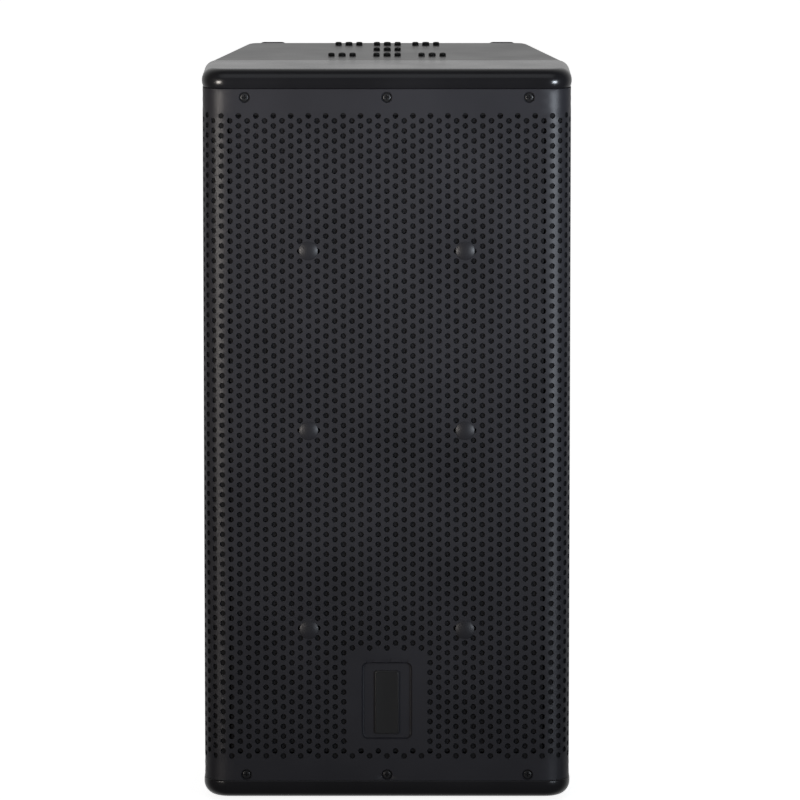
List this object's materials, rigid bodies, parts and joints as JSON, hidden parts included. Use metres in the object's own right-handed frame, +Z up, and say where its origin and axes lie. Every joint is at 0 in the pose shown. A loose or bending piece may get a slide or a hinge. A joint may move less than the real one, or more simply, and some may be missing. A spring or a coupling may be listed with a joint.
{
  "type": "pa speaker cabinet",
  "caption": "Portable PA speaker cabinet with wrap-round perforated grille, moulded front frame, tapered box, woofer, horn, side handles, fly points and pole socket.",
  "frame": {"origin": "on the floor under the feet, centred left to right and front to back on the bounding box", "axes": "+X to the right seen from the front, +Y towards the back (the grille faces -Y), +Z up"},
  "size_m": [0.37, 0.3612, 0.7455],
  "materials": {
    "frame_plastic": "satin black structural foam",
    "box_paint": "plywood in fine textured black paint",
    "bare_wood": "birch plywood",
    "baffle_paint": "plywood sprayed matt black",
    "grille_paint": "steel sheet, semi-matt black powder coat",
    "foam": "open-cell acoustic foam",
    "badge": "dark anodised, blank",
    "screw_black": "black zinc",
    "screw_zinc": "bright zinc",
    "rivet_paint": "powder coated with the grille",
    "basket_paint": "pressed steel, black",
    "gasket": "foam rubber",
    "surround": "butyl rubber",
    "cone_paper": "coated paper pulp",
    "coil_copper": "copper winding",
    "spider_cloth": "resin-dipped cotton",
    "pole_steel": "zinc-plated steel",
    "ferrite": "pressed ferrite",
    "horn_plastic": "satin black ABS",
    "titanium": "thin drawn foil",
    "cap_plastic": "black",
    "port_plastic": "black",
    "board": "green glass-fibre board",
    "nylon": "natural nylon",
    "capacitor": "wrapped film",
    "resistor": "ceramic",
    "wadding": "polyester wadding",
    "wire": "PVC insulation",
    "plate_plastic": "black polypropylene",
    "socket_plastic": "glass-filled nylon",
    "switch_plastic": "black",
    "rocker_plastic": "dark red",
    "handle_plastic": "black glass-filled nylon",
    "grip_rubber": "soft sleeve over a bar",
    "foot_rubber": "black"
  },
  "bodies": {
    "cabinet": {"front_frame": "frame_plastic", "top_panel": "box_paint", "bottom_panel": "box_paint", "side_panel_left": "box_paint", "side_panel_right": "box_paint", "back_panel": "box_paint", "baffle": "baffle_paint", "baffle_screws": "screw_zinc", "centre_brace": "bare_wood", "grille": "grille_paint", "grille_foam": "foam", "grille_braces": "grille_paint", "grille_rivets": "rivet_paint", "grille_screws": "screw_black", "badge_plate": "badge", "woofer_frame": "basket_paint", "woofer_gasket": "gasket", "woofer_screws": "screw_black", "surround": "surround", "spider": "spider_cloth", "woofer_top_plate": "pole_steel", "woofer_magnet": "ferrite", "woofer_back_plate": "pole_steel", "horn": "horn_plastic", "horn_screws": "screw_black", "hf_front_plate": "pole_steel", "hf_magnet": "ferrite", "hf_back_plate": "pole_steel", "hf_rear_cap": "cap_plastic", "port_tubes": "port_plastic", "crossover_board": "board", "crossover_standoffs": "nylon", "crossover_coils": "coil_copper", "crossover_capacitors": "capacitor", "crossover_resistors": "resistor", "wadding_back": "wadding", "wadding_sides": "wadding", "inner_leads": "wire", "fly_plates": "pole_steel", "fly_bolts": "screw_black", "fly_screws": "screw_black", "input_plate": "plate_plastic", "rear_screws": "screw_black", "input_socket_left": "socket_plastic", "input_socket_right": "socket_plastic", "switch_housing": "switch_plastic", "handle_left": "handle_plastic", "handle_right": "handle_plastic", "grip_bar_left": "grip_rubber", "grip_bar_right": "grip_rubber", "handle_screws": "screw_black", "pole_socket": "plate_plastic", "underside_screws": "screw_black", "feet": "foot_rubber", "rear_bumpers": "foot_rubber"},
    "woofer_cone": {"cone": "cone_paper", "dust_cap": "cone_paper", "voice_coil": "coil_copper"},
    "hf_dome": {"hf_diaphragm": "titanium"},
    "rocker": {"switch_rocker": "rocker_plastic"}
  },
  "joints": [
    {"name": "cone_slide", "type": "slide", "parent": "cabinet", "child": "woofer_cone", "axis": [0, -1, 0], "range_m": [-0.006, 0.006], "stiffness_N_per_m": 4000, "deforming": ["surround", "spider"]},
    {"name": "hf_dome_slide", "type": "slide", "parent": "cabinet", "child": "hf_dome", "axis": [0, 1, 0], "range_m": [-0.0004, 0.0004], "stiffness_N_per_m": 300},
    {"name": "rocker_hinge", "type": "hinge", "parent": "cabinet", "child": "rocker", "pos_m": [0, 0.14365, 0.334], "axis": [-1, 0, 0], "range_deg": [0, 20]}
  ]
}
